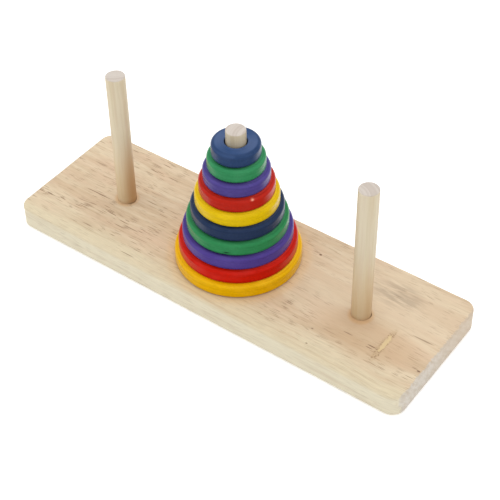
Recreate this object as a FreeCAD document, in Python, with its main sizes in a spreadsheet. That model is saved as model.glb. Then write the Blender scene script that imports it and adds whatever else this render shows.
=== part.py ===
import FreeCAD, Part
import os

import Sketcher

# A ten-disc Tower of Hanoi.  A rounded wooden board carries three upright dowel pegs in a row, and
# ten painted discs are stacked on the middle peg, the largest at the bottom.
#
# Units are millimetres.  The origin is the centre of the board's underside: +X runs along the board
# from the left peg to the right peg, +Y runs to the back, and +Z is up.

# ------------------------------------------------------------------ driving dimensions

SIZES = {
    "board_length": 280.0,
    "board_width": 90.0,
    "board_height": 15.0,
    "board_corner_radius": 8.5,
    "board_edge_radius": 1.5,
    "peg_spacing": 87.5,
    "peg_diameter": 12.0,
    "peg_exposed_length": 95.0,
    "peg_end_radius": 0.6,
    "tenon_length": 10.0,
    "tenon_diameter": 11.0,
    "tenon_chamfer": 0.8,
    "socket_depth": 10.5,
    "socket_diameter": 11.1,
    "disc_thickness": 8.7,
    "disc_bore_diameter": 13.5,
    "disc_bore_chamfer": 0.4,
    "disc_edge_radius": 1.8,
    "largest_disc_diameter": 77.0,
    "smallest_disc_diameter": 29.0,
}

# The pegs and where each stands along the board, counted in peg spacings from the centre.
PEGS = {"left_peg": -1, "middle_peg": 0, "right_peg": 1}

# The paint colours of the discs from the bottom of the stack to the top.
DISC_COLOURS = ["yellow", "red", "purple", "green", "navy", "yellow", "red", "purple", "green", "blue"]

SHEET_NAME = "sizes"
TOLERANCE = 1e-4
VOLUME_TOLERANCE = 1e-3

# How a Sketcher constraint names a point or a line: the origin is point 1 of geometry -1.
ORIGIN = (-1, 1)
X_AXIS = -1
Y_AXIS = -2
FIRST_END = 1
SECOND_END = 2
CENTRE = 3

doc = FreeCAD.newDocument("tower_of_hanoi")


def make_sheet():
    """The spreadsheet that every body's dimensions are bound to."""
    sheet = doc.addObject("Spreadsheet::Sheet", SHEET_NAME)
    for row, (alias, value) in enumerate(SIZES.items(), start=1):
        sheet.set("A%d" % row, alias)
        sheet.set("B%d" % row, str(value))
        sheet.setAlias("B%d" % row, alias)
    doc.recompute()
    return sheet


sizes = make_sheet()


# ------------------------------------------------------------------ helpers

def bind(thing, prop, expression):
    """Binds a property to an expression in which {alias} stands for a cell of the sheet."""
    cells = {alias: "%s.%s" % (SHEET_NAME, alias) for alias in SIZES}
    thing.setExpression(prop, expression.format(**cells))


def make_body(name):
    body = doc.addObject("PartDesign::Body", name)
    body.Label = name
    return body


def make_sketch(body, name, plane_role):
    """A sketch on one of the body's own origin planes."""
    sketch = body.newObject("Sketcher::SketchObject", name)
    planes = [plane for plane in body.Origin.OriginFeatures if plane.Role == plane_role]
    sketch.AttachmentSupport = [(planes[0], "")]
    sketch.MapMode = "FlatFace"
    return sketch


def draw_outline(sketch, corners):
    """A closed outline of level and upright lines, of which line N starts at corner N."""
    count = len(corners)
    points = [FreeCAD.Vector(x, y, 0) for x, y in corners]
    for index in range(count):
        start = points[index]
        end = points[(index + 1) % count]
        sketch.addGeometry(Part.LineSegment(start, end), False)
        direction = "Horizontal" if abs(start.y - end.y) < TOLERANCE else "Vertical"
        sketch.addConstraint(Sketcher.Constraint(direction, index))
    for index in range(count):
        following = (index + 1) % count
        sketch.addConstraint(
            Sketcher.Constraint("Coincident", index, SECOND_END, following, FIRST_END))


def add_dimension(sketch, name, expression, kind, *where):
    """A named driving dimension whose value comes from the sheet."""
    index = sketch.addConstraint(Sketcher.Constraint(kind, *where))
    sketch.renameConstraint(index, name)
    bind(sketch, "Constraints." + name, expression)


def revolve(body, sketch):
    """A full turn of the sketch about the body's Z axis."""
    turned = body.newObject("PartDesign::Revolution", body.Name + "_turned")
    turned.Profile = sketch
    turned.ReferenceAxis = (sketch, ["V_Axis"])
    turned.Angle = 360.0
    doc.recompute()
    return turned


def dress_edges(body, kind, name, base, wanted, prop, expression):
    """A fillet or chamfer on the edges of the base feature that the test picks out."""
    edges = base.Shape.Edges
    picked = ["Edge%d" % number for number, edge in enumerate(edges, start=1) if wanted(edge)]
    if not picked:
        raise RuntimeError("no edges found for " + name)
    dressed = body.newObject("PartDesign::" + kind, name)
    dressed.Base = (base, picked)
    bind(dressed, prop, expression)
    doc.recompute()
    return dressed


def is_circle_of(radius, heights):
    """A test for the full circular edges of one radius at the given heights."""
    def test(edge):
        box = edge.BoundBox
        flat = box.ZLength < TOLERANCE
        right_size = abs(box.XLength / 2 - radius) < TOLERANCE
        return flat and right_size and any(abs(box.ZMin - z) < TOLERANCE for z in heights)
    return test


def is_upright(edge):
    return edge.BoundBox.XLength < TOLERANCE and edge.BoundBox.YLength < TOLERANCE


def is_level(edge):
    return edge.BoundBox.ZLength < TOLERANCE


# ------------------------------------------------------------------ base board

def make_board():
    """The board: a block with rounded corners and eased edges, and a blind socket for each peg."""
    half_length = sizes.board_length / 2
    half_width = sizes.board_width / 2
    body = make_body("base_board")

    plan = make_sketch(body, "board_plan", "XY_Plane")
    draw_outline(plan, [(-half_length, -half_width), (half_length, -half_width),
                        (half_length, half_width), (-half_length, half_width)])
    plan.addConstraint(Sketcher.Constraint("Symmetric", 0, FIRST_END, 2, FIRST_END, *ORIGIN))
    add_dimension(plan, "length", "{board_length}",
                  "DistanceX", 0, FIRST_END, 0, SECOND_END, 2 * half_length)
    add_dimension(plan, "width", "{board_width}",
                  "DistanceY", 1, FIRST_END, 1, SECOND_END, 2 * half_width)

    block = body.newObject("PartDesign::Pad", "board_block")
    block.Profile = plan
    bind(block, "Length", "{board_height}")
    doc.recompute()

    corners = dress_edges(body, "Fillet", "board_corners", block, is_upright,
                          "Radius", "{board_corner_radius}")
    eased = dress_edges(body, "Fillet", "board_edges", corners, is_level,
                        "Radius", "{board_edge_radius}")

    mouths = make_sketch(body, "socket_mouths", "XY_Plane")
    bind(mouths, "AttachmentOffset.Base.z", "{board_height}")
    for index, (peg_name, place) in enumerate(PEGS.items()):
        centre = FreeCAD.Vector(place * sizes.peg_spacing, 0, 0)
        circle = Part.Circle(centre, FreeCAD.Vector(0, 0, 1), sizes.socket_diameter / 2)
        mouths.addGeometry(circle, False)
        add_dimension(mouths, peg_name + "_bore", "{socket_diameter}",
                      "Diameter", index, sizes.socket_diameter)
        if place == 0:
            mouths.addConstraint(Sketcher.Constraint("Coincident", index, CENTRE, *ORIGIN))
        else:
            mouths.addConstraint(Sketcher.Constraint("PointOnObject", index, CENTRE, X_AXIS))
            add_dimension(mouths, peg_name + "_place", "%d * {peg_spacing}" % place,
                          "DistanceX", *ORIGIN, index, CENTRE, centre.x)

    sockets = body.newObject("PartDesign::Pocket", "peg_sockets")
    sockets.Profile = mouths
    sockets.Type = "Length"
    bind(sockets, "Length", "{socket_depth}")
    doc.recompute()

    socket = Part.makeCylinder(sizes.socket_diameter / 2, sizes.socket_depth)
    removed = eased.Shape.Volume - sockets.Shape.Volume
    expected = len(PEGS) * socket.Volume
    if abs(removed - expected) > VOLUME_TOLERANCE * expected:
        raise RuntimeError("the peg sockets removed %.1f mm3, not %.1f" % (removed, expected))
    return body


# ------------------------------------------------------------------ pegs

def make_peg(name, place):
    """A dowel that stands on the board by a narrow shoulder, with a tenon glued into its socket.

    The peg's own origin is on its axis at the level of the board's top.
    """
    radius = sizes.peg_diameter / 2
    tenon_radius = sizes.tenon_diameter / 2
    depth = sizes.tenon_length
    height = sizes.peg_exposed_length
    body = make_body(name)

    half = make_sketch(body, name + "_profile", "XZ_Plane")
    draw_outline(half, [(0, -depth), (tenon_radius, -depth), (tenon_radius, 0),
                        (radius, 0), (radius, height), (0, height)])
    half.addConstraint(Sketcher.Constraint("PointOnObject", 0, FIRST_END, Y_AXIS))
    half.addConstraint(Sketcher.Constraint("PointOnObject", 2, FIRST_END, X_AXIS))
    add_dimension(half, "tenon_radius", "{tenon_diameter} / 2",
                  "DistanceX", *ORIGIN, 2, FIRST_END, tenon_radius)
    add_dimension(half, "radius", "{peg_diameter} / 2",
                  "DistanceX", *ORIGIN, 2, SECOND_END, radius)
    add_dimension(half, "depth", "{tenon_length}",
                  "DistanceY", 1, FIRST_END, 1, SECOND_END, depth)
    add_dimension(half, "height", "{peg_exposed_length}",
                  "DistanceY", 3, FIRST_END, 3, SECOND_END, height)

    dowel = revolve(body, half)
    rounded = dress_edges(body, "Fillet", name + "_top", dowel, is_circle_of(radius, [height]),
                          "Radius", "{peg_end_radius}")
    dress_edges(body, "Chamfer", name + "_foot", rounded, is_circle_of(tenon_radius, [-depth]),
                "Size", "{tenon_chamfer}")

    bind(body, "Placement.Base.x", "%d * {peg_spacing}" % place)
    bind(body, "Placement.Base.z", "{board_height}")
    return body


# ------------------------------------------------------------------ discs

def make_disc(number, colour):
    """A turned disc with rounded outer edges and an eased bore.

    The discs' diameters fall in equal steps from the bottom of the stack to the top.
    """
    level = number - 1
    last_level = len(DISC_COLOURS) - 1
    step = (sizes.largest_disc_diameter - sizes.smallest_disc_diameter) / last_level
    radius = (sizes.largest_disc_diameter - level * step) / 2
    bore_radius = sizes.disc_bore_diameter / 2
    thickness = sizes.disc_thickness
    name = "disc_%02d_%s" % (number, colour)
    body = make_body(name)

    half = make_sketch(body, name + "_profile", "XZ_Plane")
    draw_outline(half, [(bore_radius, 0), (radius, 0), (radius, thickness), (bore_radius, thickness)])
    half.addConstraint(Sketcher.Constraint("PointOnObject", 0, FIRST_END, X_AXIS))
    add_dimension(half, "bore_radius", "{disc_bore_diameter} / 2",
                  "DistanceX", *ORIGIN, 0, FIRST_END, bore_radius)
    add_dimension(half, "radius",
                  "({largest_disc_diameter} - %d * ({largest_disc_diameter}"
                  " - {smallest_disc_diameter}) / %d) / 2" % (level, last_level),
                  "DistanceX", *ORIGIN, 0, SECOND_END, radius)
    add_dimension(half, "thickness", "{disc_thickness}",
                  "DistanceY", 1, FIRST_END, 1, SECOND_END, thickness)

    blank = revolve(body, half)
    faces = [0, thickness]
    rounded = dress_edges(body, "Fillet", name + "_rim", blank, is_circle_of(radius, faces),
                          "Radius", "{disc_edge_radius}")
    dress_edges(body, "Chamfer", name + "_bore", rounded, is_circle_of(bore_radius, faces),
                "Size", "{disc_bore_chamfer}")

    bind(body, "Placement.Base.z", "{board_height} + %d * {disc_thickness}" % level)
    return body


# ------------------------------------------------------------------ assembly, tests and output

def assert_sound(bodies):
    """Stops if any feature failed or any piece isn't one valid solid."""
    for thing in doc.Objects:
        if "Invalid" in thing.State or "Error" in thing.State:
            raise RuntimeError("%s failed: %s" % (thing.Name, thing.State))
    for body in bodies:
        shape = body.Shape
        if shape.isNull() or not shape.isValid() or len(shape.Solids) != 1:
            raise RuntimeError("%s is not one valid solid" % body.Label)


def write_steps(bodies):
    os.makedirs("parts", exist_ok=True)
    for body in bodies:
        body.Shape.exportStep("parts/%s.step" % body.Label)


pieces = [make_board()]
pieces += [make_peg(name, place) for name, place in PEGS.items()]
pieces += [make_disc(number, colour) for number, colour in enumerate(DISC_COLOURS, start=1)]
doc.recompute()
assert_sound(pieces)
write_steps(pieces)

for piece in pieces:
    box = piece.Shape.BoundBox
    print("%-16s x %7.2f..%7.2f  y %6.2f..%6.2f  z %6.2f..%6.2f  volume %8.0f" % (
        piece.Label, box.XMin, box.XMax, box.YMin, box.YMax, box.ZMin, box.ZMax, piece.Shape.Volume))
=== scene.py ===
import math

import bmesh
import bpy
from mathutils import Matrix, Vector, noise


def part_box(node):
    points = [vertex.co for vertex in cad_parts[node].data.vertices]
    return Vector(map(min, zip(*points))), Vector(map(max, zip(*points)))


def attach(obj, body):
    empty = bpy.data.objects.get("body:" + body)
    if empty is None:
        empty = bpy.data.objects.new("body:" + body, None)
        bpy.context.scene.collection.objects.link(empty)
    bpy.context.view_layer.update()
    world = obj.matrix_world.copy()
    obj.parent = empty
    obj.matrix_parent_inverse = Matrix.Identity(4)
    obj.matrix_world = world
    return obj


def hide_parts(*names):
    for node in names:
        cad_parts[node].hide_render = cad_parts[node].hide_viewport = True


# The looks of a ten-disc Tower of Hanoi: a sanded rubberwood board, three dowel pegs and ten
# turned, painted discs.  Shapes are in metres, and the materials work in millimetres.

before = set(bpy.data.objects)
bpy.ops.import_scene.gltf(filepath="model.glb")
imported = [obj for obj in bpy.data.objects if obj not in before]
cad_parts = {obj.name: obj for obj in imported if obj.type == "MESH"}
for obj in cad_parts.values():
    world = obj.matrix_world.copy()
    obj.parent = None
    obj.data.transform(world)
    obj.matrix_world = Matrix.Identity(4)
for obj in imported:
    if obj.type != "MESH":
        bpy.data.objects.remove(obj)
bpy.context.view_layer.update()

MM = 0.001

# ---------------- sizes, from the frame

BOARD_LOW, BOARD_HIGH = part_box("base_board")
BOARD_TOP = BOARD_HIGH.z
HALF_LENGTH = BOARD_HIGH.x
HALF_WIDTH = BOARD_HIGH.y

PEGS = ["left_peg", "middle_peg", "right_peg"]
PEG_RADIUS = (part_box("left_peg")[1].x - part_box("left_peg")[0].x) / 2
PEG_SPACING = (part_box("right_peg")[0].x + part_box("right_peg")[1].x) / 2

DISCS = sorted(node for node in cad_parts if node.startswith("disc_"))

# ---------------- shape details

CORNER_RADIUS = 8.5 * MM        # the board's corners, seen from above
EDGE_INSET = 2.4 * MM           # how far in from the board's outline its flat faces end
EDGE_RADIUS = 1.5 * MM          # the sanded edges, on average
EDGE_RADIUS_CHANGE = 0.35 * MM  # and how far hand sanding makes that radius wander
EDGE_STEP = 10                  # degrees from one ring of the rounded edge to the next
SIDE_STEPS = 6                  # bands of faces up the board's sides
FACE_DIP = 0.03 * MM            # the average depth of the hollows sanded into the faces
SIDE_DIP = 0.05 * MM            # and into the sides
GRID = 1.25 * MM                # spacing of the board's mesh
CORNER_CELLS = 6                # cells of the mesh over a rounded corner
COLLAR_CELLS = 8                # half the side of the square of mesh round each peg, in cells

HOLE_RADIUS = 6.02 * MM         # the drilled holes that the pegs stand in
HOLE_SHIFT = 0.05 * MM          # how far along X the drill stood from each peg's axis
MOUTH_EASE = 0.1 * MM           # how much wider a hole is at its very top
COLLAR_SHARES = (0.3, 0.55, 0.75, 0.9, 1.0)
# Rings down a hole: how much wider each is than the hole, and how deep it lies, both in mm.
HOLE_RINGS = ((0.04, 0.02), (0.0, 0.08), (0.0, 0.3), (0.0, 2.0), (0.0, 10.0))

# Where the drill tore each hole's edge: the middle of the tear, its spread and its depth.
TEARS = (
    (math.radians(-15), 0.5, 0.6 * MM),
    (math.radians(120), 0.5, 0.2 * MM),
    (math.radians(10), 0.4, 0.35 * MM),
)

BORE_RADIUS = 6.75 * MM
BORE_EASE = 0.4 * MM            # the rounding of a bore's two mouths
DISC_TOP_EDGE = 2.2 * MM
DISC_BOTTOM_EDGE = 1.4 * MM
LOWEST_DISC_BOTTOM_EDGE = 1.3 * MM
DISC_SEGMENTS = 288

PEG_SEGMENTS = 96
PEG_TOP_EDGE = 0.6 * MM
PEG_FOOT_EDGE = 0.5 * MM

# Small marks on the rims.  Each has its angle round the disc in degrees, its height above the
# underside, half its width and height, and how far it stands out (or in, when negative).
BLEMISHES = {
    "disc_04_green": (
        (-66.5, 2.4 * MM, 1.9 * MM, 0.5 * MM, -0.35 * MM),
        (-68.0, 0.5 * MM, 1.1 * MM, 0.5 * MM, -0.4 * MM),
    ),
    "disc_07_red": (
        (-30.0, 8.0 * MM, 0.75 * MM, 0.45 * MM, 0.3 * MM),
    ),
}


# ---------------- mesh helpers

def wander(point, size, seed):
    """Smooth noise from -1 to 1 that changes over about `size`."""
    shifted = Vector((point[0], point[1], point[2])) / size + Vector((seed, -1.7 * seed, 0.6 * seed))
    return noise.noise(shifted)


def finish_mesh(name, vertices, faces):
    """A smooth mesh object with clean outward normals."""
    mesh = bpy.data.meshes.new(name)
    mesh.from_pydata(vertices, [], faces)
    grown = bmesh.new()
    grown.from_mesh(mesh)
    bmesh.ops.recalc_face_normals(grown, faces=grown.faces)
    grown.to_mesh(mesh)
    grown.free()
    for polygon in mesh.polygons:
        polygon.use_smooth = True
    piece = bpy.data.objects.new(name, mesh)
    bpy.context.scene.collection.objects.link(piece)
    return piece


def paint_vertices(piece, name, values):
    """Stores one number per vertex for the piece's material to read."""
    attribute = piece.data.attributes.new(name, "FLOAT", "POINT")
    attribute.data.foreach_set("value", values)


def ring_faces(first, second):
    """The faces between two rings of vertices.  A ring may be one vertex, repeated."""
    faces = []
    for k in range(len(first)):
        following = (k + 1) % len(first)
        corners = [first[k], first[following], second[following], second[k]]
        faces.append(list(dict.fromkeys(corners)))
    return faces


def fade(distance, reach):
    """1 at no distance, falling evenly to 0 at `reach` and beyond."""
    return max(0.0, 1 - distance / reach)


def turn_from(middle, angle):
    """The angle from `middle`, between minus and plus half a turn."""
    return (angle - middle + math.pi) % (2 * math.pi) - math.pi


def arc(centre_r, centre_z, radius, start, end, steps):
    """Points of a section's arc, from angle start to angle end in degrees, both included."""
    points = []
    for step in range(steps + 1):
        angle = math.radians(start + (end - start) * step / steps)
        points.append((centre_r + radius * math.cos(angle), centre_z + radius * math.sin(angle)))
    return points


def line(start, end, step):
    """Points inside a straight stretch of a section, evenly spaced, without its two ends."""
    run, rise = end[0] - start[0], end[1] - start[1]
    count = max(1, round(math.hypot(run, rise) / step))
    return [(start[0] + run * i / count, start[1] + rise * i / count) for i in range(1, count)]


# ---------------- the board

def grid_line(half, corner):
    """Mesh lines across one side: even cells, then narrower ones over the corner."""
    straight = half - corner
    # The last even cell ends at least 0.4 of a cell before the corner begins.
    cells = int(straight / GRID - 0.4)
    ahead = [GRID * i for i in range(1, cells + 1)]
    ahead += [straight + corner * i / CORNER_CELLS for i in range(CORNER_CELLS + 1)]
    return [-value for value in reversed(ahead)] + [0.0] + ahead


def round_corner(x, y, half_x, half_y, corner):
    """Bends the grid's square corners into arcs, and gives the outline's direction there."""
    across = (abs(x) - (half_x - corner)) / corner
    along = (abs(y) - (half_y - corner)) / corner
    if across <= 0 or along <= 0:
        sideways = across >= 1 - 1e-6
        outward = (math.copysign(1, x), 0) if sideways else (0, math.copysign(1, y))
        return x, y, outward
    u = across * math.sqrt(1 - along * along / 2)
    v = along * math.sqrt(1 - across * across / 2)
    length = math.hypot(u, v)
    outward = (math.copysign(u / length, x), math.copysign(v / length, y))
    return (math.copysign(half_x - corner + corner * u, x),
            math.copysign(half_y - corner + corner * v, y), outward)


def border_walk(low_i, high_i, low_j, high_j):
    """The border of a rectangle of grid points, as (column, row), once round."""
    walk = [(i, low_j) for i in range(low_i, high_i)]
    walk += [(high_i, j) for j in range(low_j, high_j)]
    walk += [(i, high_j) for i in range(high_i, low_i, -1)]
    walk += [(low_i, j) for j in range(high_j, low_j, -1)]
    return walk


def edge_radius(x, y, level):
    """The sanded edge's radius at one place on the outline."""
    change = wander((x, y, level), 26 * MM, 4.0) + 0.5 * wander((x, y, level), 7 * MM, 9.0)
    return EDGE_RADIUS + EDGE_RADIUS_CHANGE * change


def hole_ring(centre_x, radius, angle, number):
    """A point on the slightly uneven, torn mouth of a peg hole."""
    middle, spread, depth = TEARS[number]
    edge = Vector((math.cos(angle), math.sin(angle), 0))
    uneven = radius * (1 + 0.008 * wander(edge, 0.7, number))
    uneven += depth * math.exp(-(turn_from(middle, angle) / spread) ** 2)
    return centre_x + HOLE_SHIFT + uneven * edge.x, uneven * edge.y


class BoardMesh:
    """The board's vertices and faces, grown from a grid of columns along X and rows along Y."""

    def __init__(self):
        self.half_x = HALF_LENGTH - EDGE_INSET
        self.half_y = HALF_WIDTH - EDGE_INSET
        self.corner = CORNER_RADIUS - EDGE_INSET
        self.columns = grid_line(self.half_x, self.corner)
        self.rows = grid_line(self.half_y, self.corner)
        self.middle_row = self.rows.index(0.0)
        self.hole_columns = [self.nearest_column(x) for x in (-PEG_SPACING, 0.0, PEG_SPACING)]
        self.vertices = []
        self.faces = []

    def nearest_column(self, x):
        return min(range(len(self.columns)), key=lambda i: abs(self.columns[i] - x))

    def add(self, x, y, z):
        self.vertices.append((x, y, z))
        return len(self.vertices) - 1

    def place(self, key):
        """Where the grid point (column, row) lies with rounded corners, and which way is out."""
        column, row = key
        return round_corner(self.columns[column], self.rows[row], self.half_x, self.half_y, self.corner)

    def in_collar(self, key, reach):
        """Whether a grid point is within `reach` cells of a hole's middle."""
        column, row = key
        near_row = abs(row - self.middle_row) < reach
        return near_row and any(abs(column - middle) < reach for middle in self.hole_columns)

    def flat_face(self, level, holes):
        """The top or the bottom, as a grid with a square left out round each hole."""
        ids = {}
        for i in range(len(self.columns)):
            for j in range(len(self.rows)):
                if holes and self.in_collar((i, j), COLLAR_CELLS):
                    continue
                x, y, _ = self.place((i, j))
                dip = FACE_DIP * (1 + wander((x, y, level), 18 * MM, 2.0))
                ids[i, j] = self.add(x, y, level - dip if holes else level + dip)
        for i in range(len(self.columns) - 1):
            for j in range(len(self.rows) - 1):
                square = [(i, j), (i + 1, j), (i + 1, j + 1), (i, j + 1)]
                if not all(key in ids for key in square):
                    continue
                if holes and all(self.in_collar(key, COLLAR_CELLS + 1) for key in square):
                    continue
                self.faces.append([ids[key] for key in square])
        return ids

    def edge_ring(self, walk, upper, degrees):
        """One ring of a rounded edge: 0 degrees is at the flat face and 90 at the side."""
        level = BOARD_TOP if upper else BOARD_LOW.z
        turn = math.radians(degrees)
        ring = []
        for key in walk:
            x, y, outward = self.place(key)
            radius = edge_radius(x, y, level)
            reach = EDGE_INSET - radius * (1 - math.sin(turn))
            rise = radius * (1 - math.cos(turn))
            ring.append(self.add(x + outward[0] * reach, y + outward[1] * reach,
                                 level - rise if upper else level + rise))
        return ring

    def side_ring(self, walk, upper_ring, share):
        """One ring of the sides, at a share of the way from the upper edge to the lower one."""
        ring = []
        for key, vertex in zip(walk, upper_ring):
            x, y, outward = self.place(key)
            high = self.vertices[vertex][2]
            low = BOARD_LOW.z + edge_radius(x, y, BOARD_LOW.z)
            z = high + (low - high) * share
            reach = EDGE_INSET - SIDE_DIP * (1 + wander((x, y, z), 12 * MM, 6.0))
            ring.append(self.add(x + outward[0] * reach, y + outward[1] * reach, z))
        return ring

    def add_sides(self, top_ids, bottom_ids):
        """The rounded edges and the sides, as rings from the top's border down to the bottom's."""
        walk = border_walk(0, len(self.columns) - 1, 0, len(self.rows) - 1)
        rings = [[top_ids[key] for key in walk]]
        for degrees in range(0, 90 + EDGE_STEP, EDGE_STEP):
            rings.append(self.edge_ring(walk, True, degrees))
        upper_ring = rings[-1]
        for step in range(1, SIDE_STEPS):
            rings.append(self.side_ring(walk, upper_ring, step / SIDE_STEPS))
        for degrees in range(90, -EDGE_STEP, -EDGE_STEP):
            rings.append(self.edge_ring(walk, False, degrees))
        rings.append([bottom_ids[key] for key in walk])
        for first, second in zip(rings, rings[1:]):
            self.faces += ring_faces(first, second)

    def add_hole(self, number, top_ids):
        """A collar of rings from the square round a hole to its mouth, then the blind hole."""
        column = self.hole_columns[number]
        centre_x = self.columns[column]
        square = border_walk(column - COLLAR_CELLS, column + COLLAR_CELLS,
                             self.middle_row - COLLAR_CELLS, self.middle_row + COLLAR_CELLS)
        previous = [top_ids[key] for key in square]
        places = [self.vertices[vertex] for vertex in previous]
        angles = [math.atan2(y, x - centre_x) for x, y, _ in places]
        for share in COLLAR_SHARES:
            ring = []
            for (x, y, z), angle in zip(places, angles):
                mouth_x, mouth_y = hole_ring(centre_x, HOLE_RADIUS + MOUTH_EASE, angle, number)
                ring.append(self.add(x + (mouth_x - x) * share, y + (mouth_y - y) * share, z))
            self.faces += ring_faces(previous, ring)
            previous = ring
        for widening, drop in HOLE_RINGS:
            ring = []
            for angle in angles:
                x, y = hole_ring(centre_x, HOLE_RADIUS + widening * MM, angle, number)
                ring.append(self.add(x, y, BOARD_TOP - drop * MM))
            self.faces += ring_faces(previous, ring)
            previous = ring
        floor = self.add(centre_x, 0.0, BOARD_TOP - HOLE_RINGS[-1][1] * MM)
        self.faces += ring_faces(previous, [floor] * len(previous))


def build_board():
    """A sanded board with three drilled blind holes, as one closed mesh."""
    board = BoardMesh()
    top_ids = board.flat_face(BOARD_TOP, holes=True)
    bottom_ids = board.flat_face(BOARD_LOW.z, holes=False)
    board.add_sides(top_ids, bottom_ids)
    for number in range(len(PEGS)):
        board.add_hole(number, top_ids)
    return finish_mesh("base_board_sanded", board.vertices, board.faces)


# ---------------- turned pieces

def build_turned(name, section, segments, move, centre=(0.0, 0.0)):
    """A closed piece turned about an upright axis.

    The section is a list of (radius, height).  If it starts and ends on the axis, those ends are
    single points, and otherwise it is a closed loop.  move(radius, height, angle) gives the small
    shifts along the radius and the height that make the piece hand-made.
    """
    vertices, faces, rings = [], [], []
    on_axis = section[0][0] < 1e-9
    for radius, height in section:
        if radius < 1e-9:
            vertices.append((centre[0], centre[1], height))
            rings.append([len(vertices) - 1] * segments)
            continue
        ring = []
        for k in range(segments):
            angle = 2 * math.pi * k / segments
            out, up = move(radius, height, angle)
            x = centre[0] + (radius + out) * math.cos(angle)
            y = centre[1] + (radius + out) * math.sin(angle)
            vertices.append((x, y, height + up))
            ring.append(len(vertices) - 1)
        rings.append(ring)
    pairs = list(zip(rings, rings[1:]))
    if not on_axis:
        pairs.append((rings[-1], rings[0]))
    for first, second in pairs:
        faces += ring_faces(first, second)
    return finish_mesh(name, vertices, faces)


def disc_section(radius, low, high, bottom_edge):
    """A disc's section, anticlockwise from its bore, with rounded edges and an eased bore."""
    bore_side = BORE_RADIUS + BORE_EASE
    bottom_side = radius - bottom_edge
    top_side = radius - DISC_TOP_EDGE
    section = arc(bore_side, low + BORE_EASE, BORE_EASE, 180, 270, 4)
    section += line((bore_side, low), (bottom_side, low), 1.2 * MM)
    section += arc(bottom_side, low + bottom_edge, bottom_edge, 270, 360, 8)
    section += line((radius, low + bottom_edge), (radius, high - DISC_TOP_EDGE), 0.3 * MM)
    section += arc(top_side, high - DISC_TOP_EDGE, DISC_TOP_EDGE, 0, 90, 10)
    section += line((top_side, high), (bore_side, high), 0.6 * MM)
    section += arc(bore_side, high - BORE_EASE, BORE_EASE, 90, 180, 4)
    section += line((BORE_RADIUS, high - BORE_EASE), (BORE_RADIUS, low + BORE_EASE), 1.2 * MM)
    return section


def blemish_at(node, radius, height, angle):
    """How strong a disc's marks are at a place, and how far they move the surface there."""
    strongest, shift = 0.0, 0.0
    for degrees, middle, wide, tall, depth in BLEMISHES.get(node, ()):
        across = turn_from(math.radians(degrees), angle) * radius / wide
        up = (height - middle) / tall
        amount = math.exp(-(across * across + up * up))
        strongest = max(strongest, amount)
        shift += amount * depth
    return strongest, shift


def mark_disc(piece, node, low, high, lowest):
    """Stores where the disc's paint gets wear and a painted highlight, painted shade from below, a flat
    top, or marks, for its paint to read.
    """
    outer = high.x
    marks = {"edge": [], "underside": [], "flat": [], "chip_shade": [], "drop": []}
    for vertex in piece.data.vertices:
        x, y, z = vertex.co
        radius = math.hypot(x, y)
        below_top = high.z - z
        from_top = math.hypot(outer - radius, below_top)
        from_bottom = math.hypot(outer - radius, z - low.z)
        from_bore = math.hypot(radius - BORE_RADIUS, below_top)
        inward = (outer - 1.6 * MM - radius) / (1.2 * MM)
        amount, shift = blemish_at(node, radius, z - low.z, math.atan2(y, x))
        amount = amount if outer - radius < 2 * MM else 0.0
        marks["edge"].append(fade(min(from_top, from_bore), 1.9 * MM))
        marks["underside"].append(0.0 if lowest else fade(from_bottom, 2.2 * MM))
        marks["flat"].append(min(1.0, max(0.0, inward)) if below_top < 0.3 * MM else 0.0)
        marks["chip_shade"].append(amount if shift < 0 else 0.0)
        marks["drop"].append(amount if shift > 0 else 0.0)
    for name, values in marks.items():
        paint_vertices(piece, name, values)


def build_disc(node, number):
    """A turned disc: faint tool rings, a rim a little out of true, and softened edges."""
    low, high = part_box(node)
    outer = high.x
    middle = (low.z + high.z) / 2
    seed = 10.0 + 3.7 * number

    def move(radius, height, angle):
        if radius <= BORE_RADIUS + 0.1 * MM:
            return 0.0, 0.0
        round_place = Vector((math.cos(angle), math.sin(angle), 0))
        near_rim = fade(outer - radius, 2.5 * MM)
        out_of_true = 0.045 * MM * (wander(round_place, 0.9, seed) - 1)
        tool_rings = 0.014 * MM * (wander((0, height, 0), 0.8 * MM, seed) - 1)
        out = near_rim * (out_of_true + tool_rings)
        if near_rim > 0:
            out += blemish_at(node, radius, height - low.z, angle)[1]
        face = 0.012 * MM * (wander((radius, 0, 0), 1.1 * MM, seed + 1) - 1)
        face += 0.02 * MM * (wander(round_place * radius, 14 * MM, seed + 2) - 1)
        return out, face if height > middle else -face

    lowest = number == 1
    bottom_edge = LOWEST_DISC_BOTTOM_EDGE if lowest else DISC_BOTTOM_EDGE
    section = disc_section(outer, low.z, high.z, bottom_edge)
    piece = build_turned(node + "_turned", section, DISC_SEGMENTS, move)
    mark_disc(piece, node, low, high, lowest)
    return piece


def peg_section(low, high):
    """A dowel's section, from the middle of its foot out and up to the middle of its top."""
    foot_side, top_side = PEG_RADIUS - PEG_FOOT_EDGE, PEG_RADIUS - PEG_TOP_EDGE
    foot, top = low + PEG_FOOT_EDGE, high - PEG_TOP_EDGE
    section = [(0.0, low), (PEG_RADIUS * 0.5, low), (foot_side, low), (PEG_RADIUS, foot)]
    section += line((PEG_RADIUS, foot), (PEG_RADIUS, top), 1.2 * MM)
    section += arc(top_side, top, PEG_TOP_EDGE, 0, 90, 7)
    section += line((top_side, high), (0.0, high), 0.5 * MM)
    return section + [(0.0, high)]


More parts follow.
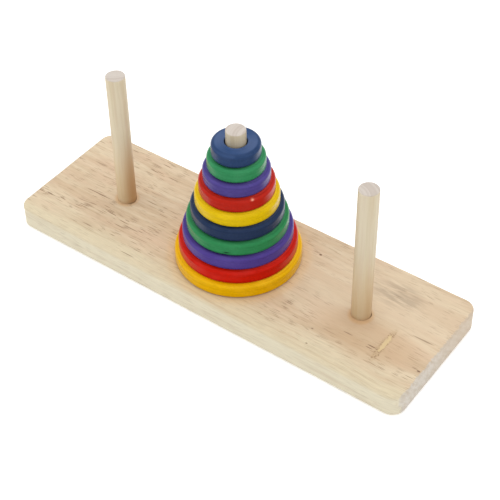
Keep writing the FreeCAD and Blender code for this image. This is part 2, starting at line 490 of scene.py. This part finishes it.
def build_peg(node, number):
    """A dowel with a sanded, slightly uneven top edge, standing in its hole."""
    low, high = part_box(node)
    centre = (low.x + high.x) / 2
    seed = 50.0 + 6.1 * number

    def move(radius, height, angle):
        place = Vector((math.cos(angle), math.sin(angle), 0))
        share = radius / PEG_RADIUS
        flats = 0.022 * MM * (wander((place.x, place.y, height / (90 * MM)), 0.55, seed) - 1)
        near_top = fade(high.z - height, 1.5 * MM)
        sanded = wander(place, 0.6, seed + 1) - 1
        sawn = wander((place.x * share, place.y * share * 6, 0), 0.5, seed + 2) - 1
        out = flats * share + near_top * 0.06 * MM * sanded
        return out, near_top * (0.05 * sanded * share + 0.025 * sawn) * MM

    section = peg_section(low.z, high.z)
    piece = build_turned(node + "_dowel", section, PEG_SEGMENTS, move, (centre, 0.0))
    end_grain = []
    for vertex in piece.data.vertices:
        radius = math.hypot(vertex.co.x - centre, vertex.co.y)
        depth = high.z - vertex.co.z
        on_foot = radius < PEG_RADIUS - 0.7 * MM and depth > 1 * MM
        on_top = depth < 0.2 * MM
        end_grain.append(1.0 if on_foot or on_top else fade(depth - 0.2 * MM, 0.35 * MM))
    paint_vertices(piece, "end_grain", end_grain)
    return piece


# ---------------- material helpers

def srgb(red, green, blue):
    """A colour given as it looks on a screen, from 0 to 255, as the shader's linear colour."""
    def linear(value):
        value /= 255
        return value / 12.92 if value <= 0.04045 else ((value + 0.055) / 1.055) ** 2.4
    return linear(red), linear(green), linear(blue), 1.0


class Graph:
    """A material's node tree, built one named step at a time."""

    def __init__(self, name):
        self.material = bpy.data.materials.new(name)
        self.material.use_nodes = True
        self.tree = self.material.node_tree
        self.tree.nodes.clear()
        output = self.add("ShaderNodeOutputMaterial")
        self.shader = self.add("ShaderNodeBsdfPrincipled")
        self.tree.links.new(self.shader.outputs["BSDF"], output.inputs["Surface"])
        place = self.add("ShaderNodeTexCoord").outputs["Object"]
        self.place = self.scaled(place, (1 / MM, 1 / MM, 1 / MM))

    def add(self, kind, **settings):
        made = self.tree.nodes.new(kind)
        for key, value in settings.items():
            setattr(made, key, value)
        return made

    def put(self, value, socket):
        """Links a socket, or sets a plain number or colour."""
        if isinstance(value, bpy.types.NodeSocket):
            self.tree.links.new(value, socket)
        else:
            socket.default_value = value

    def maths(self, operation, *values, clamp=False):
        made = self.add("ShaderNodeMath", operation=operation, use_clamp=clamp)
        for value, socket in zip(values, made.inputs):
            self.put(value, socket)
        return made.outputs[0]

    def plus(self, first, second):
        return self.maths("ADD", first, second)

    def minus(self, first, second):
        return self.maths("SUBTRACT", first, second)

    def times(self, first, second):
        return self.maths("MULTIPLY", first, second)

    def over(self, first, second):
        return self.maths("DIVIDE", first, second)

    def squares(self, x, y):
        """The square of the length of the flat vector (x, y)."""
        return self.plus(self.maths("POWER", x, 2.0), self.maths("POWER", y, 2.0))

    def vector_maths(self, operation, vector, other):
        made = self.add("ShaderNodeVectorMath", operation=operation)
        self.put(vector, made.inputs[0])
        self.put(other, made.inputs[1])
        return made.outputs[0]

    def scaled(self, vector, factors):
        return self.vector_maths("MULTIPLY", vector, factors)

    def shifted(self, vector, offset):
        return self.vector_maths("ADD", vector, offset)

    def split(self, vector):
        made = self.add("ShaderNodeSeparateXYZ")
        self.put(vector, made.inputs[0])
        return made.outputs[0], made.outputs[1], made.outputs[2]

    def joined(self, x, y, z):
        made = self.add("ShaderNodeCombineXYZ")
        for value, socket in zip((x, y, z), made.inputs):
            self.put(value, socket)
        return made.outputs[0]

    def cloud(self, vector, detail=2.0, roughness=0.5):
        """Noise from 0 to 1 that changes over about one unit of the vector."""
        made = self.add("ShaderNodeTexNoise")
        self.put(vector, made.inputs["Vector"])
        made.inputs["Scale"].default_value = 1.0
        made.inputs["Detail"].default_value = detail
        made.inputs["Roughness"].default_value = roughness
        return made.outputs["Fac"]

    def noise_over(self, vector, sizes, shift=None, detail=2.0, roughness=0.5):
        """Noise from 0 to 1 that changes over about these sizes along X, Y and Z."""
        vector = self.scaled(vector, [1 / size for size in sizes])
        if shift is not None:
            vector = self.shifted(vector, shift)
        return self.cloud(vector, detail, roughness)

    def cells(self, vector, flat=False):
        """The distance to the nearest of some scattered points, and a random colour for each."""
        made = self.add("ShaderNodeTexVoronoi", voronoi_dimensions="2D" if flat else "3D")
        self.put(vector, made.inputs["Vector"])
        made.inputs["Scale"].default_value = 1.0
        return made.outputs["Distance"], made.outputs["Color"]

    def ramp(self, numbers, **settings):
        made = self.add("ShaderNodeMapRange", **settings)
        for number, socket in zip(numbers, made.inputs):
            self.put(number, socket)
        return made.outputs[0]

    def ease(self, value, start, end, low=0.0, high=1.0):
        """Goes smoothly from low to high as the value goes from start to end."""
        return self.ramp((value, start, end, low, high), interpolation_type="SMOOTHSTEP")

    def stretch(self, value, start, end, low, high):
        """Goes evenly from low to high as the value goes from start to end."""
        return self.ramp((value, start, end, low, high))

    def mix(self, share, first, second):
        """The first colour where the share is 0 and the second where it is 1."""
        made = self.add("ShaderNodeMix", data_type="RGBA")
        colours = [socket for socket in made.inputs if socket.type == "RGBA"]
        self.put(share, made.inputs["Factor"])
        self.put(first, colours[0])
        self.put(second, colours[1])
        return next(socket for socket in made.outputs if socket.type == "RGBA")

    def tint(self, colour, mask, strength, other):
        """Mixes another colour in where the mask is 1, by at most the strength."""
        return self.mix(self.times(mask, strength), colour, other)

    def shade(self, colour, brightness):
        """Multiplies a colour by a number that varies over the surface."""
        made = self.add("ShaderNodeVectorMath", operation="SCALE")
        self.put(colour, made.inputs[0])
        self.put(brightness, made.inputs["Scale"])
        return made.outputs[0]

    def attribute(self, name):
        return self.add("ShaderNodeAttribute", attribute_name=name).outputs["Fac"]

    def glancing(self):
        """0 where the surface faces the viewer, and 1 where it is seen edge on."""
        made = self.add("ShaderNodeLayerWeight")
        made.inputs["Blend"].default_value = 0.5
        return made.outputs["Facing"]

    def bump(self, height, distance, below=None):
        """Raises the surface by up to `distance` where the height is 1."""
        made = self.add("ShaderNodeBump")
        made.inputs["Strength"].default_value = 1.0
        made.inputs["Distance"].default_value = distance
        self.put(height, made.inputs["Height"])
        if below is not None:
            self.put(below, made.inputs["Normal"])
        return made.outputs["Normal"]

    def finish(self, colour, roughness, normal, specular):
        inputs = self.shader.inputs
        self.put(colour, inputs["Base Color"])
        self.put(roughness, inputs["Roughness"])
        self.put(normal, inputs["Normal"])
        self.put(specular, inputs["Specular IOR Level"])
        return self.material


# ---------------- the board's wood

# Dark flecks in the wood of the board's top: centre and half size in millimetres, and strength.
FLECKS = (
    ((41.6, 27.0), (0.9, 0.7), 0.85),
    ((137.3, -19.3), (1.1, 0.6), 0.85),
    ((134.5, -18.6), (1.8, 0.35), 0.45),
    ((71.3, -26.3), (0.7, 0.5), 0.6),
    ((74.9, -37.6), (0.7, 0.5), 0.6),
    ((-86.0, 6.6), (0.8, 0.5), 0.7),
    ((-104.0, -7.3), (9.5, 0.32), 0.75),
    ((90.0, -17.7), (3.0, 0.3), 0.6),
    ((106.4, -18.4), (2.6, 0.38), 0.8),
    ((105.6, -20.2), (2.2, 0.32), 0.65),
    ((-55.0, -40.0), (5.0, 0.3), 0.6),
    ((-67.0, -21.0), (5.5, 0.3), 0.6),
    ((127.5, 2.2), (6.5, 0.45), 0.5),
    ((-122.5, 16.0), (4.5, 0.3), 0.5),
    ((-129.5, -25.0), (4.5, 0.3), 0.5),
)

# A warm tan halo round the feet of the pegs: how far each patch lies from its peg's axis, in
# millimetres.
FOOT_HALO_SHIFTS = {"left_peg": (0.2, -0.4), "middle_peg": (0.0, 0.0), "right_peg": (0.7, -1.2)}
FOOT_HALO_RADIUS = 7.6

# Other marks on the board's top: centre, half size in millimetres, and softness of the border.
# A paler patch towards the right end: partly paler wood, partly painted light.
PALE_AND_LIT = ((92.0, 14.0), (62.0, 28.0), 0.9)
ROSY = ((101.0, -14.0), (30.0, 15.0), 0.9)
SMUDGE = ((98.0, 25.0), (15.0, 9.0), 0.95)
LENS = ((111.4, -12.3), (1.25, 7.6), 0.35)
LENS_BORDER = ((111.2, -14.0), (2.3, 14.0), 0.45)


class BoardWood(Graph):
    """Plain-sawn rubberwood, sanded and lightly waxed, with its grain along X."""

    def __init__(self):
        super().__init__("rubberwood")
        self.x, self.y, self.z = self.split(self.place)

        # The grain wanders slowly from side to side along the board.
        slow = self.noise_over(self.place, (90, 80, 80), detail=1.0)
        quick = self.noise_over(self.place, (18, 40, 40), detail=1.0)
        slow_drift = self.stretch(slow, 0.0, 1.0, -5.0, 5.0)
        quick_drift = self.stretch(quick, 0.0, 1.0, -1.1, 1.1)
        self.grain_y = self.plus(self.y, self.plus(slow_drift, quick_drift))
        self.grain = self.joined(self.x, self.grain_y, self.z)
        # Distance across the grain, carried on round the edge and down the sides.
        self.across = self.plus(self.grain_y, self.minus(self.z, BOARD_TOP / MM))

    def ellipse(self, centre, size, softness, x=None):
        """1 inside an ellipse on the board's top, in millimetres, and 0 outside it."""
        x = self.x if x is None else x
        across = self.over(self.minus(x, centre[0]), size[0])
        along = self.over(self.minus(self.y, centre[1]), size[1])
        reach = self.squares(across, along)
        return self.ease(reach, 1 + softness, max(0.0, 1 - softness))

    def pores(self, across, length, spacing, size, share, seed):
        """Short dark vessel lines along X: scattered points, drawn out along the grain."""
        vector = self.joined(self.over(self.x, length), self.over(across, spacing), 0.0)
        distance, colour = self.cells(self.shifted(vector, (seed, 2 * seed, 0.0)), flat=True)
        chance, darkness, girth = self.split(colour)
        reach = self.stretch(girth, 0.0, 1.0, 0.55 * size, 1.25 * size)
        line_mark = self.ease(self.over(distance, reach), 1.0, 0.4)
        kept = self.ease(chance, 1 - share, 1.08 - share)
        strength = self.stretch(darkness, 0.0, 1.0, 0.3, 1.0)
        return self.times(self.times(line_mark, kept), strength)

    def fibre_noise(self, length, width, shift, detail):
        """Noise drawn out along the grain, that also runs down the sides."""
        vector = self.joined(self.over(self.x, length), self.over(self.across, width), shift)
        return self.cloud(vector, detail)

    def ground(self):
        """The broad bands of colour, paler and greener along the front edge, and paler down the sides,
        partly sapwood and partly painted light.
        """
        bands = self.noise_over(self.grain, (75, 9, 9), detail=3.0, roughness=0.6)
        colour = self.mix(self.ease(bands, 0.36, 0.62), srgb(208, 190, 162), srgb(195, 172, 143))
        blush = self.noise_over(self.grain, (45, 15, 15), (7, 3, 5))
        colour = self.mix(self.ease(blush, 0.42, 0.68, 0.0, 0.7), colour, srgb(201, 175, 148))

        edge_noise = self.noise_over(self.grain, (40, 7, 7), detail=3.0)
        self.front = self.plus(self.y, self.stretch(edge_noise, 0.0, 1.0, -11.0, 11.0))
        colour = self.mix(self.ease(self.front, -24.0, -42.0, 0.0, 0.85), colour, srgb(206, 194, 165))
        # The sides are painted paler: partly sapwood, partly painted light.
        sapwood_and_lit_side = self.ease(self.z, BOARD_TOP / MM - 0.4, BOARD_TOP / MM - 3.0)
        return self.tint(colour, sapwood_and_lit_side, 0.7, srgb(211, 204, 182))

    def add_fibres(self, colour):
        """Growth lines a few millimetres apart, then streaks and fine fibres."""
        lines = self.noise_over(self.grain, (60, 1.9, 2.4), detail=3.0)
        colour = self.mix(self.ease(lines, 0.5, 0.76, 0.0, 0.3), colour, srgb(166, 138, 106))
        self.streaks = self.fibre_noise(11.0, 0.8, 3.0, detail=3.0)
        colour = self.shade(colour, self.stretch(self.streaks, 0.25, 0.75, 0.92, 1.07))
        self.fibres = self.fibre_noise(4.0, 0.32, 8.0, detail=2.0)
        return self.shade(colour, self.stretch(self.fibres, 0.25, 0.75, 0.95, 1.05))

    def add_pores(self, colour):
        """Vessel lines, which come in groups.  There are fewer of them in the sapwood."""
        groups = self.noise_over(self.grain, (30, 10, 10), (3, 8, 1))
        grouped = self.times(self.ease(groups, 0.36, 0.62, 0.3, 1.0),
                             self.ease(self.front, -42.0, -28.0, 0.3, 1.0))
        grouped = self.times(grouped, self.ease(self.x, -10.0, 80.0, 1.0, 0.75))
        bend = self.cloud(self.joined(self.over(self.x, 60.0), 0.0, 5.0), detail=1.0)
        bent_y = self.plus(self.y, self.stretch(bend, 0.0, 1.0, -4.0, 4.0))
        across = self.plus(bent_y, self.minus(self.z, BOARD_TOP / MM))
        long_pores = self.pores(across, 17.0, 1.1, 0.28, 0.5, 4.0)
        short_pores = self.pores(across, 10.0, 0.8, 0.3, 0.42, 11.0)
        either = self.maths("MAXIMUM", long_pores, short_pores)
        self.pore_mark = self.times(either, grouped)
        return self.mix(self.pore_mark, colour, srgb(120, 88, 62))

    def add_patches(self, colour):
        """Marks at their own places on the top: a paler patch, partly painted light, rosier wood, a
        grey smudge, flecks.
        """
        # Paler wood, partly painted light.
        pale = self.ellipse(*PALE_AND_LIT)
        colour = self.tint(colour, pale, 0.5, srgb(215, 194, 166))
        rosy = self.ellipse(*ROSY)
        colour = self.tint(colour, rosy, 0.55, srgb(187, 156, 122))
        smudge = self.ellipse(*SMUDGE)
        smudge_grain = self.noise_over(self.grain, (14, 1.9, 1.9), detail=3.0)
        smudge = self.times(smudge, self.ease(smudge_grain, 0.32, 0.62))
        colour = self.tint(colour, smudge, 0.5, srgb(150, 132, 113))
        for centre, size, strength in FLECKS:
            fleck = self.ellipse(centre, size, 0.6)
            colour = self.tint(colour, fleck, strength, srgb(108, 80, 60))
        return colour

    def add_lens(self, colour):
        """A pale lens of crossed grain near the right end, with a speckled border."""
        ragged = self.cloud(self.scaled(self.place, (0.8, 0.55, 0.55)), detail=3.0)
        ragged_x = self.plus(self.x, self.stretch(ragged, 0.0, 1.0, -1.6, 1.6))
        lens = self.ellipse(*LENS, ragged_x)
        border = self.ellipse(*LENS_BORDER, ragged_x)
        rim = self.maths("SUBTRACT", border, lens, clamp=True)
        speck_distance, _ = self.cells(self.scaled(self.place, (0.7, 0.9, 0.7)))
        specks = self.times(rim, self.ease(speck_distance, 0.46, 0.2))
        lens_colour = self.mix(self.fibres, srgb(212, 190, 146), srgb(198, 174, 130))
        colour = self.tint(colour, lens, 0.85, lens_colour)
        colour = self.tint(colour, rim, 0.3, srgb(172, 145, 106))
        return self.tint(colour, specks, 0.75, srgb(132, 103, 72))

    def add_stains(self, colour):
        """Worn-off paint mixed with painted warm shade and reflected yellow round the lowest disc, and
        a warm tan halo round the pegs' feet.
        """
        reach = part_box(DISCS[0])[1].x / MM + 5.0
        # Painted warm shade and reflected yellow round the lowest disc, partly paint worn off it.
        rubbed_and_painted_light = self.ellipse((0.0, 0.0), (reach, reach), 0.12)
        colour = self.tint(colour, rubbed_and_painted_light, 0.2, srgb(208, 162, 98))
        for side, node in enumerate(PEGS, start=-1):
            shift_x, shift_y = FOOT_HALO_SHIFTS[node]
            centre = (side * PEG_SPACING / MM + shift_x, shift_y)
            # A warm tan halo round each peg's foot, a little off its axis.
            foot_halo = self.ellipse(centre, (FOOT_HALO_RADIUS, FOOT_HALO_RADIUS), 0.35)
            colour = self.tint(colour, foot_halo, 0.4, srgb(200, 152, 92))
        return colour

    def add_sawn_ends(self, colour):
        """The sawn ends are greyer, mottled, and have a ragged border with the top."""
        mottle = self.noise_over(self.place, (4, 2.4, 3.2), detail=3.0)
        border = self.noise_over(self.place, (9, 2.2, 9), detail=3.0)
        from_middle = self.maths("ABSOLUTE", self.x)
        reach = self.plus(from_middle, self.stretch(border, 0.35, 0.65, 0.0, 1.1))
        end = self.ease(reach, HALF_LENGTH / MM - 0.9, HALF_LENGTH / MM - 0.1)
        leaning = self.plus(self.grain_y, self.times(self.z, 0.8))
        ring_place = self.joined(self.over(self.x, 60.0), self.over(leaning, 2.6),
                                 self.over(self.z, 7.0))
        ring_lines = self.cloud(ring_place, detail=3.0)
        sawn = self.mix(self.ease(ring_lines, 0.36, 0.66), srgb(197, 190, 181), srgb(184, 174, 161))
        sawn = self.mix(self.ease(mottle, 0.48, 0.72, 0.0, 0.55), sawn, srgb(178, 160, 141))
        sawn = self.mix(self.ease(self.y, -20.0, 32.0, 0.0, 0.6), sawn, srgb(192, 171, 146))
        pit_distance, _ = self.cells(self.scaled(self.place, (0.3, 1.2, 1.2)))
        pits = self.ease(pit_distance, 0.3, 0.12, 0.0, 0.35)
        sawn = self.mix(pits, sawn, srgb(150, 132, 116))
        return self.tint(colour, end, 0.85, sawn)


def board_wood():
    """The board's material, from its ground colour up to the marks on it."""
    wood = BoardWood()
    colour = wood.ground()
    colour = wood.add_fibres(colour)
    colour = wood.add_pores(colour)
    colour = wood.add_patches(colour)
    colour = wood.add_lens(colour)
    colour = wood.add_stains(colour)
    colour = wood.add_sawn_ends(colour)
    roughness = wood.stretch(wood.plus(wood.streaks, wood.fibres), 0.7, 1.3, 0.52, 0.66)
    normal = wood.bump(wood.fibres, 0.035 * MM)
    normal = wood.bump(wood.times(wood.pore_mark, -1.0), 0.12 * MM, normal)
    return wood.finish(colour, roughness, normal, specular=0.2)


# ---------------- the pegs' wood

# For each peg, the share of painted brown shade on the side towards +X, low down, and the tone of
# the whole side of the dowel, whose lower value for the middle peg is painted shade.
PEG_TONES = {
    "left_peg": (0.75, 0.83),
    "middle_peg": (0.6, 0.65),
    "right_peg": (0.28, 0.785),
}
HEART_DISTANCE = 14.0           # from a dowel's axis to the heart of its tree's rings, in mm


def sawn_end(graph, own, x, y, seed):
    """A dowel's sawn end: rings from a heart outside the dowel, and small pits."""
    away_x = graph.minus(x, HEART_DISTANCE * math.cos(seed))
    away_y = graph.minus(y, HEART_DISTANCE * math.sin(seed))
    from_heart = graph.maths("SQRT", graph.squares(away_x, away_y))
    rings = graph.cloud(graph.joined(graph.times(from_heart, 0.85), seed, 0.0), 2.0)
    sawn = graph.mix(graph.ease(rings, 0.4, 0.62), srgb(193, 184, 175), srgb(183, 172, 162))
    pits, _ = graph.cells(graph.scaled(own, (1.6, 1.6, 0.4)))
    return graph.mix(graph.ease(pits, 0.3, 0.12, 0.0, 0.3), sawn, srgb(158, 142, 128))


def peg_wood(name, centre_x, seed, side_shade_share, tone):
    """A sanded dowel: streaks up its length, and painted warm shade low down, deepest on one side."""
    graph = Graph(name)
    own = graph.shifted(graph.place, (-centre_x / MM, 0.0, 0.0))
    x, y, z = graph.split(own)
    drift = graph.noise_over(own, (30, 30, 45), (seed, 0, 0))
    bent_x = graph.plus(x, graph.stretch(drift, 0.0, 1.0, -2.0, 2.0))
    grain = graph.joined(bent_x, y, z)

    def streaks(width, length, shift):
        return graph.noise_over(grain, (width, width, length), (seed + shift, shift, 0))

    broad, narrow = streaks(4.0, 120.0, 2.0), streaks(1.1, 90.0, 5.0)
    fine = streaks(0.28, 14.0, 9.0)
    colour = graph.mix(graph.ease(broad, 0.38, 0.64), srgb(227, 214, 187), srgb(217, 200, 169))
    colour = graph.mix(graph.ease(narrow, 0.5, 0.72, 0.0, 0.25), colour, srgb(206, 192, 152))
    rosy = streaks(2.4, 60.0, 14.0)
    colour = graph.mix(graph.ease(rosy, 0.52, 0.72, 0.0, 0.3), colour, srgb(214, 190, 168))
    colour = graph.shade(colour, graph.stretch(fine, 0.25, 0.75, 0.965 * tone, 1.025 * tone))

    height = graph.minus(z, BOARD_TOP / MM)
    # Painted warm shade, growing towards the foot.
    low_shade = graph.ease(height, 62.0, 4.0)
    colour = graph.tint(colour, low_shade, 0.42, srgb(206, 170, 116))
    # Painted brown shade low down on the side towards +X.
    right_side = graph.ease(graph.plus(x, graph.times(y, 0.35)), 0.4, 5.6)
    side_shade = graph.times(low_shade, right_side)
    colour = graph.tint(colour, side_shade, side_shade_share, srgb(176, 132, 86))
    # Painted shade at the very foot of the dowel.
    foot = graph.ease(height, 3.0, 0.0, 0.0, 0.35)
    colour = graph.mix(foot, colour, srgb(178, 140, 98))

    sawn = sawn_end(graph, own, x, y, seed)
    colour = graph.mix(graph.attribute("end_grain"), colour, sawn)
    roughness = graph.stretch(graph.plus(narrow, fine), 0.6, 1.4, 0.48, 0.62)
    normal = graph.bump(fine, 0.03 * MM)
    return graph.finish(colour, roughness, normal, specular=0.2)


# ---------------- the discs' paint

# Which way the sheen on the flat tops runs, as an angle from +X.
SHEEN_AXIS = math.radians(15)

# Each disc's paint, the tone of its flat top, which is painted light and shade, and the tone of
# its rounded edges, which is partly wear and partly a painted highlight.
PAINTS = {
    "disc_01_yellow": (srgb(224, 171, 1), 1.2, 0.95),
    "disc_02_red": (srgb(187, 23, 5), 1.1, 1.05),
    "disc_03_purple": (srgb(73, 57, 130), 0.64, 1.05),
    "disc_04_green": (srgb(44, 124, 74), 0.7, 1.12),
    "disc_05_navy": (srgb(34, 49, 78), 0.85, 1.15),
    "disc_06_yellow": (srgb(213, 179, 7), 1.2, 1.05),
    "disc_07_red": (srgb(170, 31, 17), 1.3, 1.25),
    "disc_08_purple": (srgb(73, 62, 128), 0.75, 1.4),
    "disc_09_green": (srgb(48, 128, 81), 0.7, 1.3),
    "disc_10_blue": (srgb(40, 61, 97), 1.42, 1.8),
}


def tone_of(colour, tone, white=0.0):
    """A colour made lighter or darker, with a little white added."""
    return [min(1.0, tone * channel + white) for channel in colour[:3]] + [1.0]


def top_sheen(graph, x, y, radius):
    """A painted sheen on a flat top's two opposite sides, where its turned rings would catch the light.
    """
    along = graph.plus(graph.times(x, math.cos(SHEEN_AXIS)), graph.times(y, math.sin(SHEEN_AXIS)))
    facing = graph.maths("POWER", graph.over(along, radius), 2.0)
    return graph.times(facing, graph.attribute("flat"))


def disc_paint(name, colour, top_light_tone, edge_wear_and_highlight_tone, seed):
    """Satin paint on turned wood: lighter where it is thin, deeper in its brush marks, with painted
    highlights, shade and sheen.
    """
    graph = Graph(name)
    x, y, z = graph.split(graph.place)
    radius = graph.maths("SQRT", graph.squares(x, y))
    around = graph.joined(graph.times(radius, 1.3), graph.times(z, 1.5), seed)
    tool_rings = graph.cloud(around, detail=3.0, roughness=0.6)

    # Brush marks follow the rim: long round the disc, and narrow across it.
    wobble = graph.noise_over(graph.place, (13, 13, 5), (seed, 4, 1))
    swept = graph.joined(graph.plus(radius, graph.times(wobble, 1.5)),
                         graph.times(z, 2.4), graph.times(wobble, 3.0))
    brushed = graph.cloud(graph.shifted(swept, (seed, 0, 0)), detail=3.0)
    patches = graph.noise_over(graph.place, (9, 9, 6), (1, seed, 2))
    paint = graph.mix(graph.ease(brushed, 0.42, 0.68, 0.0, 0.5), colour, tone_of(colour, 0.68))
    thin = tone_of(colour, 1.14, 0.018)
    paint = graph.mix(graph.ease(patches, 0.48, 0.75, 0.0, 0.3), paint, thin)

    # The wood's grain shows through the paint. The edges are lighter: partly paint rubbed thin, partly
    # a painted highlight.
    grain = graph.noise_over(graph.place, (14, 0.7, 1.6), (seed, 1, 3))
    paint = graph.shade(paint, graph.stretch(grain, 0.3, 0.7, 0.94, 1.05))
    edge = graph.attribute("edge")
    # The edges are painted lighter: partly wear, partly a painted highlight.
    rubbed_and_painted_light = graph.times(edge, graph.ease(patches, 0.3, 0.62, 0.35, 1.0))
    paint = graph.tint(paint, rubbed_and_painted_light, 0.7, tone_of(colour, edge_wear_and_highlight_tone, 0.018))
    # Painted shade on each disc's lower rounded edge, where it sits on the disc below.
    paint = graph.shade(paint, graph.stretch(graph.attribute("underside"), 0.0, 1.0, 1.0, 0.72))
    # Painted light and shade on the flat top: its tone makes it lighter or darker for each disc.
    paint = graph.shade(paint, graph.stretch(graph.attribute("flat"), 0.0, 1.0, 1.0, top_light_tone))
    # A painted sheen on the flat top.
    paint = graph.tint(paint, top_sheen(graph, x, y, radius), 0.85, tone_of(colour, 1.6, 0.04))

    # The nick is painted a very dark green: painted shade in the dent.
    paint = graph.mix(graph.attribute("chip_shade"), paint, srgb(16, 44, 28))
    # A painted glint on the raised paint droplet.
    paint = graph.tint(paint, graph.attribute("drop"), 0.85, srgb(255, 180, 150))
    roughness = graph.stretch(graph.plus(tool_rings, patches), 0.7, 1.3, 0.22, 0.38)
    normal = graph.bump(tool_rings, 0.035 * MM)
    normal = graph.bump(grain, 0.03 * MM, normal)
    specular = graph.ease(graph.glancing(), 0.4, 0.8, 0.04, 0.55)
    return graph.finish(paint, roughness, normal, specular)


# ---------------- the pieces

def dress(piece, body, node, material):
    """Gives a piece its material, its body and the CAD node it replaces."""
    piece.data.materials.append(material)
    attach(piece, body)
    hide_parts(node)


dress(build_board(), "base", "base_board", board_wood())

for number, node in enumerate(PEGS):
    centre_x = (number - 1) * PEG_SPACING
    side_shade_share, tone = PEG_TONES[node]
    wood = peg_wood(node + "_wood", centre_x, 2.3 + 4.1 * number, side_shade_share, tone)
    dress(build_peg(node, number), "base", node, wood)

for number, node in enumerate(DISCS, start=1):
    body, colour_name = node.rsplit("_", 1)
    colour, top_light_tone, edge_wear_and_highlight_tone = PAINTS[node]
    paint = disc_paint(node + "_paint", colour, top_light_tone, edge_wear_and_highlight_tone, 1.3 * number)
    dress(build_disc(node, number), body, node, paint)


# ---------------- floor, light and camera

FLOOR_HALF = 3.0
FLOOR_DROP = 0.2 * MM           # how far below the board's flat underside the floor lies
FLOOR_STEPS = 24
FLOOR_GLOW = 0.2                # the table is lit from below a little, as for small goods

# The white backdrop behind the object is brighter than the room in front of it.
BACKDROP_DIRECTION = (-0.58, 0.79, 0.2)
BACKDROP_STRENGTH = 0.98
FRONT_STRENGTH = 0.82

WHITE = (1.0, 1.0, 1.0)
WARM_WHITE = (1.0, 0.995, 0.98)
LIGHT_TARGET = (0.0, 0.0, 0.03)
# Square studio lights: place, size, power in watts and colour.
SOFTBOXES = {
    "top": ((0.0, 0.2, 1.3), 0.8, 4.7, WHITE),
    "left": ((-1.05, -0.3, 0.7), 0.5, 2.3, WARM_WHITE),
    "front": ((0.35, -0.6, 0.95), 0.35, 0.9, WHITE),
    "right": ((1.05, 0.05, 0.62), 0.5, 0.9, WARM_WHITE),
}

# The camera's heading is measured from +Y towards +X, its dip is below the horizon, and its roll
# is clockwise, all in degrees.
CAMERA_PLACE = (0.3497, -0.4608, 0.5694)
CAMERA_HEADING = -36.516
CAMERA_DIP = 43.681
CAMERA_ROLL = 0.957
CAMERA_LENS_MM = 95.25
SENSOR_MM = 36.0


def build_floor():
    """A plain pale floor with a little unevenness in its paint."""
    level = BOARD_LOW.z - FLOOR_DROP
    sides = [FLOOR_HALF * (2 * i / FLOOR_STEPS - 1) for i in range(FLOOR_STEPS + 1)]
    vertices = [(x, y, level) for x in sides for y in sides]
    faces = []
    for i in range(FLOOR_STEPS):
        for j in range(FLOOR_STEPS):
            first = i * len(sides) + j
            faces.append([first, first + len(sides), first + len(sides) + 1, first + 1])
    floor = finish_mesh("floor", vertices, faces)
    graph = Graph("floor_paint")
    mottle = graph.noise_over(graph.place, (60, 60, 60), detail=3.0)
    colour = graph.mix(mottle, srgb(250, 250, 250), srgb(253, 253, 253))
    roughness = graph.stretch(mottle, 0.3, 0.7, 0.85, 0.95)
    normal = graph.bump(mottle, 0.01 * MM)
    graph.shader.inputs["Emission Color"].default_value = (*WHITE, 1.0)
    graph.shader.inputs["Emission Strength"].default_value = FLOOR_GLOW
    floor.data.materials.append(graph.finish(colour, roughness, normal, specular=0.1))


def add_softbox(name, place, size, power, colour):
    """A square studio light that faces the object."""
    data = bpy.data.lights.new(name, "AREA")
    data.shape = "SQUARE"
    data.size = size
    data.energy = power
    data.color = colour
    light = bpy.data.objects.new(name, data)
    light.location = place
    light.rotation_mode = "QUATERNION"
    light.rotation_quaternion = (Vector(LIGHT_TARGET) - Vector(place)).to_track_quat("-Z", "Y")
    bpy.context.scene.collection.objects.link(light)


def light_scene():
    """A white room, brighter towards the backdrop, and four softboxes."""
    world = bpy.data.worlds.new("studio")
    world.use_nodes = True
    tree = world.node_tree
    background = tree.nodes["Background"]
    background.inputs["Color"].default_value = (*WHITE, 1.0)
    direction = tree.nodes.new("ShaderNodeTexCoord")
    towards = tree.nodes.new("ShaderNodeVectorMath")
    towards.operation = "DOT_PRODUCT"
    towards.inputs[1].default_value = BACKDROP_DIRECTION
    glow = tree.nodes.new("ShaderNodeMapRange")
    glow.interpolation_type = "SMOOTHSTEP"
    glow.inputs["From Min"].default_value = -0.5
    glow.inputs["From Max"].default_value = 0.8
    glow.inputs["To Min"].default_value = FRONT_STRENGTH
    glow.inputs["To Max"].default_value = BACKDROP_STRENGTH
    tree.links.new(direction.outputs["Generated"], towards.inputs[0])
    tree.links.new(towards.outputs["Value"], glow.inputs["Value"])
    tree.links.new(glow.outputs["Result"], background.inputs["Strength"])
    bpy.context.scene.world = world
    for name, (place, size, power, colour) in SOFTBOXES.items():
        add_softbox(name, place, size, power, colour)


def add_camera():
    """A camera that looks down on the board from its right front."""
    heading, dip, roll = (math.radians(a) for a in (CAMERA_HEADING, CAMERA_DIP, CAMERA_ROLL))
    flat = math.cos(dip)
    ahead = Vector((math.sin(heading) * flat, math.cos(heading) * flat, -math.sin(dip)))
    level = Vector((math.cos(heading), -math.sin(heading), 0.0))
    down = ahead.cross(level)
    right = level * math.cos(roll) + down * math.sin(roll)
    below = down * math.cos(roll) - level * math.sin(roll)
    data = bpy.data.cameras.new("camera")
    data.lens = CAMERA_LENS_MM
    data.sensor_width = SENSOR_MM
    camera = bpy.data.objects.new("camera", data)
    turn = Matrix((right, -below, -ahead)).transposed().to_4x4()
    camera.matrix_world = Matrix.Translation(CAMERA_PLACE) @ turn
    bpy.context.scene.collection.objects.link(camera)
    bpy.context.scene.camera = camera


build_floor()
light_scene()
add_camera()
bpy.context.scene.view_settings.view_transform = "Standard"
